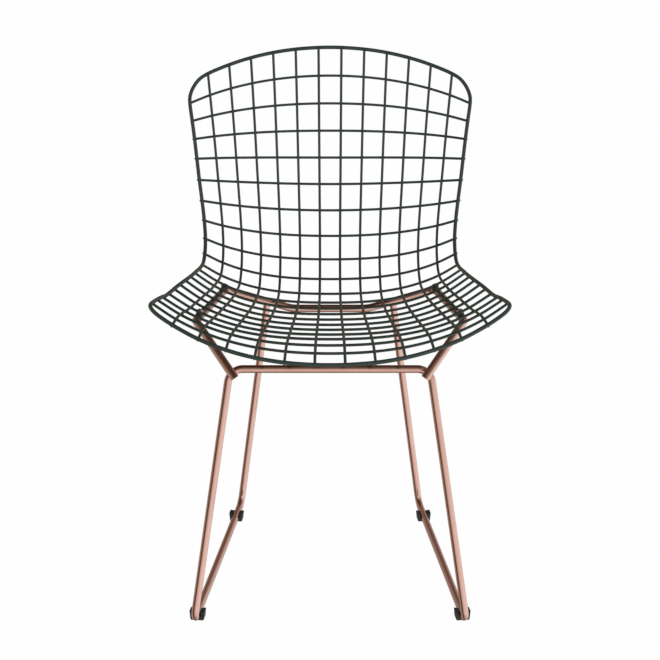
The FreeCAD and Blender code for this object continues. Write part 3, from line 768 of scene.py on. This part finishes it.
# The mount bars. On either side a thin steel bar is welded under the wires across
# and coated with them. Both its ends are pressed flat into round tabs, which are
# bolted to the rail below.
BAR_DIAMETER = 0.0050
BAR_SIDES = 14
BAR_STEP = 0.006
BAR_DOME = ((0.60, 1.0), (0.30, 0.88), (0.10, 0.70), (0.0, 0.58))
BAR_DROP = 0.00475
BAR_ROWS = range(11, 17)
BAR_START_ROW = 10.75
BAR_ROW_COUNT = 5.75
BAR_SHARES = (0.39, 0.30)
TAB_DIAMETER = 0.0130
TAB_THICKNESS = 0.0030
TAB_EDGE = 0.0006
TAB_BREAK = 0.0002
TAB_INSET = 0.455
TURNED_SIDES = 40
HOLE_RADIUS = 0.0027
REAR_BOLT = Vector((-0.16651, 0.12022, 0.41906))
REAR_BOLT_UP = Vector((0.4222, 0.0427, 0.9055))
FRONT_BOLT = Vector((-0.19312, -0.06587, 0.43969))
FRONT_BOLT_UP = Vector((0.3235, 0.0178, 0.9461))


def turned(name, outline, sides=TURNED_SIDES, closed=False):
    """A turned part about the Z axis. The outline gives radius and height at each angle."""
    shape = bmesh.new()
    rows = []
    for number in range(sides):
        angle = 2 * math.pi * number / sides
        rows.append([shape.verts.new((radius * math.cos(angle), radius * math.sin(angle), height))
                     for radius, height in outline(angle)])
    for row, following in zip(rows, rows[1:] + rows[:1]):
        last = len(row) if closed else len(row) - 1
        for n in range(last):
            m = (n + 1) % len(row)
            shape.faces.new((row[n], following[n], following[m], row[m]))
    if not closed:
        shape.faces.new([row[0] for row in rows])
        shape.faces.new([row[-1] for row in rows])
    bmesh.ops.recalc_face_normals(shape, faces=shape.faces)
    mesh = bpy.data.meshes.new(name)
    shape.to_mesh(mesh)
    shape.free()
    part = bpy.data.objects.new(name, mesh)
    bpy.context.scene.collection.objects.link(part)
    return part


# One tree sets a small part on each bolt's place, upright on the rail.
place_tree, given, result = new_tree("part_at_bolts", (("Part", "NodeSocketObject", None),
                                                       ("Material", "NodeSocketMaterial", None)))
part = step(place_tree, "GeometryNodeObjectInfo")
stand = step(place_tree, "FunctionNodeAxesToRotation", primary_axis="Z", secondary_axis="X")
spots = step(place_tree, "GeometryNodeInstanceOnPoints")
join(place_tree, given.outputs["Part"], part.inputs["Object"])
join(place_tree, named_value(place_tree, "upright", "FLOAT_VECTOR"), stand.inputs[0])
join(place_tree, named_value(place_tree, "rail", "FLOAT_VECTOR"), stand.inputs[1])
join(place_tree, given.outputs["Geometry"], spots.inputs["Points"])
join(place_tree, part.outputs["Geometry"], spots.inputs["Instance"])
join(place_tree, stand.outputs[0], spots.inputs["Rotation"])
finish_tree(place_tree, spots.outputs[0], given, result)


def at_bolts(name, part, drop, material):
    """A part set at all four bolts, a drop below the wires across."""
    places, ups, rails = [], [], []
    for place, up in ((REAR_BOLT, REAR_BOLT_UP), (FRONT_BOLT, FRONT_BOLT_UP)):
        at = place - up.normalized() * drop
        rail = RAIL_FRONT - RAIL_REAR
        places += [at, mirrored(at)]
        ups += list(up) + list(mirrored(up))
        rails += list(rail) + list(mirrored(rail))
    mesh = bpy.data.meshes.new(name + "_places")
    mesh.from_pydata(places, [], [])
    for label, values in (("upright", ups), ("rail", rails)):
        mesh.attributes.new(label, "FLOAT_VECTOR", "POINT").data.foreach_set("vector", values)
    source = bpy.data.objects.new(name + "_places", mesh)
    bpy.context.scene.collection.objects.link(source)
    piece = grown(name, source, place_tree, {"Part": part, "Material": material})
    bpy.data.objects.remove(part)
    return piece


bar_lines, bar_widths = [], []
for side in (-1, 1):
    line = []
    for row in BAR_ROWS:
        wire = wires_across[row - 1]
        if side > 0:
            wire = [mirrored(point) for point in wire[::-1]]
        way = (row - BAR_START_ROW) / BAR_ROW_COUNT
        share = BAR_SHARES[0] * (1 - way) + BAR_SHARES[1] * way
        up = REAR_BOLT_UP.lerp(FRONT_BOLT_UP, way).normalized()
        line.append(wire[1].lerp(wire[2], share) - up * BAR_DROP)
    for number, bolt, up in ((0, REAR_BOLT, REAR_BOLT_UP), (len(line), FRONT_BOLT, FRONT_BOLT_UP)):
        tab = bolt - up.normalized() * BAR_DROP
        near = line[0] if number == 0 else line[-1]
        line.insert(number, tab + (near - tab).normalized() * TAB_DIAMETER * TAB_INSET)
    line, widths = eased_ends(smooth_line(line, BAR_STEP), BAR_DIAMETER, BAR_DOME)
    bar_lines.append(line if side < 0 else [mirrored(point) for point in line])
    bar_widths += widths
mount_bars = grown("mount_bars_coated", line_object("bar_lines", bar_lines, widths=bar_widths),
                   bar_tree, {"Diameter": BAR_DIAMETER, "Sides": BAR_SIDES, "Material": green_coat})


def tab_outline(angle):
    """Radius and height of a tab's section, a washer with its outer edges rounded."""
    edge, half = TAB_DIAMETER / 2, TAB_THICKNESS / 2
    return ((HOLE_RADIUS, -half), (edge - TAB_EDGE, -half), (edge - TAB_BREAK, -half + TAB_BREAK),
            (edge, -half + TAB_EDGE), (edge, half - TAB_EDGE), (edge - TAB_BREAK, half - TAB_BREAK),
            (edge - TAB_EDGE, half), (HOLE_RADIUS, half))


mount_tabs = at_bolts("mount_tabs_coated", turned("tab", tab_outline, closed=True), BAR_DROP,
                      green_coat)
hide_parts("mount_bar_left", "mount_bar_right")
for piece in (mount_bars, mount_tabs):
    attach(piece, "root")


# The spacers. Small black nylon blocks between tabs and rails, hollowed to sit over
# the rod, so that coating and plating don't rub.
SPACER_DIAMETER = 0.0110
SPACER_HEIGHT = 0.0030
SPACER_DROP = 0.00625
SPACER_EDGE = 0.0004
SPACER_WAIST = 0.0041
ROD_PLAY = 0.0001
MOULD_RELIEF = 0.00004
BLACK = (0.0150, 0.0150, 0.0158, 1.0)
BLACK_WORN = (0.0300, 0.0300, 0.0310, 1.0)

black_plastic, nodes, shader = new_material("black_plastic")
tree = black_plastic.node_tree
coords = nodes.new("ShaderNodeTexCoord").outputs["Object"]
grain = noise(tree, coords, 1900.0, 3.0, 0.6)
clouds = noise(tree, coords, 120.0, 2.0, 0.5)
join(tree, blended(tree, maths(tree, "MULTIPLY", between(tree, clouds, 0.0, 1.0),
                               between(tree, grain, 0.4, 1.0)), BLACK, BLACK_WORN),
     shader.inputs["Base Color"])
join(tree, between(tree, grain, 0.38, 0.52), shader.inputs["Roughness"])
relief(tree, shader, grain, MOULD_RELIEF)


def spacer_outline(angle):
    """Radius and height of a spacer's section. Its underside follows the rod below it."""
    def hollow(radius):
        rod = CRADLE_DIAMETER / 2
        return math.sqrt((rod + ROD_PLAY) ** 2 - (radius * math.sin(angle)) ** 2) - SPACER_HEIGHT - rod

    edge = SPACER_DIAMETER / 2
    return ((HOLE_RADIUS, 0.0), (edge - SPACER_EDGE, 0.0), (edge, -SPACER_EDGE), (edge, hollow(edge)),
            (SPACER_WAIST, hollow(SPACER_WAIST)), (HOLE_RADIUS, hollow(HOLE_RADIUS)))


spacers = at_bolts("spacers_moulded", turned("spacer", spacer_outline, closed=True),
                   SPACER_DROP, black_plastic)
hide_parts("saddle_spacers")
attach(spacers, "root")


# The bolts. Zinc plated button heads with a hexagon socket. Each goes down through
# tab and spacer into a tapped hole in the rail.
HEAD_DIAMETER = 0.0095
HEAD_HEIGHT = 0.0028
HEAD_BREAK = 0.0003
HEAD_EDGE = 0.0008
HEAD_CROWN = 0.0022
HEAD_STEPS = 6
BOLT_SIDES = 48
SHANK_DIAMETER = 0.0050
SHANK_LENGTH = 0.0145
SHANK_POINT = 0.2
SOCKET_WIDTH = 0.0030
SOCKET_MOUTH = (0.00195, 0.0001)
SOCKET_WALL = (0.0004, 0.0018)
SOCKET_FLOOR = (0.0003, 0.0021)
BOLT_DROP = 0.00315
ZINC_RELIEF = 0.00002
ZINC = (0.680, 0.690, 0.690, 1.0)
ZINC_DULL = (0.540, 0.545, 0.535, 1.0)

zinc_plate, nodes, shader = new_material("zinc_plate")
tree = zinc_plate.node_tree
coords = nodes.new("ShaderNodeTexCoord").outputs["Object"]
flakes = noise(tree, coords, 900.0, 3.0, 0.6)
shader.inputs["Metallic"].default_value = 1.0
join(tree, blended(tree, between(tree, flakes, 0.0, 0.7), ZINC, ZINC_DULL), shader.inputs["Base Color"])
join(tree, between(tree, flakes, 0.38, 0.54), shader.inputs["Roughness"])
relief(tree, shader, flakes, ZINC_RELIEF)


def bolt_outline(angle):
    """Radius and height of a bolt's section, from the shank's end to the socket's floor."""
    shank, head = SHANK_DIAMETER / 2, HEAD_DIAMETER / 2
    flat = (angle + math.pi / 6) % (math.pi / 3) - math.pi / 6
    socket = SOCKET_WIDTH / 2 / math.cos(flat)
    point = shank * SHANK_POINT
    section = [(shank - point, -SHANK_LENGTH), (shank, -SHANK_LENGTH + point), (shank, 0.0),
               (head - HEAD_BREAK, 0.0), (head, HEAD_BREAK), (head, HEAD_EDGE)]
    for number in range(1, HEAD_STEPS + 1):
        turn = math.pi / 2 * number / HEAD_STEPS
        section.append((HEAD_CROWN + (head - HEAD_CROWN) * math.cos(turn),
                        HEAD_EDGE + (HEAD_HEIGHT - HEAD_EDGE) * math.sin(turn)))
    inside = [SOCKET_MOUTH] + [(socket, depth) for depth in SOCKET_WALL] + [SOCKET_FLOOR]
    return section + [(radius, HEAD_HEIGHT - depth) for radius, depth in inside]


bolts = at_bolts("bolts_plated", turned("bolt", bolt_outline, BOLT_SIDES), BOLT_DROP, zinc_plate)
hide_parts("mount_bolts")
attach(bolts, "root")


# The glides. Black plastic clips, pushed on the runners from below, one near each
# bend. The sole is flat, and an ear on either side grips the rod.
GLIDE_LENGTH = 0.0150
GLIDE_FOOT = 0.01036
GLIDE_EAR = 0.01146
GLIDE_EAR_TOP = 0.0145
GLIDE_BORE = 0.00596
GLIDE_LIP = math.radians(46)
GLIDE_ARC_STEPS = 24
GLIDE_EDGE = 0.0006
GLIDE_CREASE = math.radians(40)
GLIDE_SOLE = ((0.0, 0.0020), (0.0004, 0.0008), (0.0011, 0.0002), (0.0020, 0.0))
FRONT_GLIDE_RUN = 0.0313
REAR_GLIDE_RUN = 0.0453


def glide(name, place, runner):
    """A clip on a runner. Its section is drawn across the rod and pulled out along it."""
    axis = FRONT_FOOT.z
    section = []
    for number in range(GLIDE_ARC_STEPS + 1):
        angle = GLIDE_LIP - (math.pi + 2 * GLIDE_LIP) * number / GLIDE_ARC_STEPS
        section.append((GLIDE_BORE * math.cos(angle), axis + GLIDE_BORE * math.sin(angle)))
    section.append((-GLIDE_EAR, GLIDE_EAR_TOP))
    section += [(-GLIDE_FOOT + inset, height) for inset, height in GLIDE_SOLE]
    section += [(GLIDE_FOOT - inset, height) for inset, height in reversed(GLIDE_SOLE)]
    section.append((GLIDE_EAR, GLIDE_EAR_TOP))
    clip = bmesh.new()
    ends = [[clip.verts.new((x, y, z)) for x, z in section]
            for y in (-GLIDE_LENGTH / 2, GLIDE_LENGTH / 2)]
    for number in range(len(section)):
        other = number - 1
        clip.faces.new((ends[0][other], ends[0][number], ends[1][number], ends[1][other]))
    caps = [clip.faces.new(ends[0]), clip.faces.new(ends[1])]
    bmesh.ops.recalc_face_normals(clip, faces=clip.faces)
    bmesh.ops.bevel(clip, geom=[edge for cap in caps for edge in cap.edges], offset=GLIDE_EDGE,
                    segments=2, profile=0.6, affect="EDGES", clamp_overlap=True)
    turn = math.atan2(-runner.x, runner.y)
    clip.transform(Matrix.Translation(place) @ Matrix.Rotation(turn, 4, "Z"))
    mesh = bpy.data.meshes.new(name)
    clip.to_mesh(mesh)
    clip.free()
    mesh.shade_smooth()
    mesh.set_sharp_from_angle(angle=GLIDE_CREASE)
    mesh.materials.append(black_plastic)
    piece = bpy.data.objects.new(name, mesh)
    bpy.context.scene.collection.objects.link(piece)
    return piece


runner = (REAR_FOOT - FRONT_FOOT).normalized()
for end, place in (("front", FRONT_FOOT + runner * FRONT_GLIDE_RUN),
                   ("rear", REAR_FOOT - runner * REAR_GLIDE_RUN)):
    for side in ("left", "right"):
        at = Vector((place.x, place.y, 0.0))
        way = runner
        if side == "right":
            at, way = mirrored(at), mirrored(way)
        clip = glide("glide_%s_%s_clip" % (end, side), at, way)
        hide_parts("glide_%s_%s" % (end, side))
        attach(clip, "root")
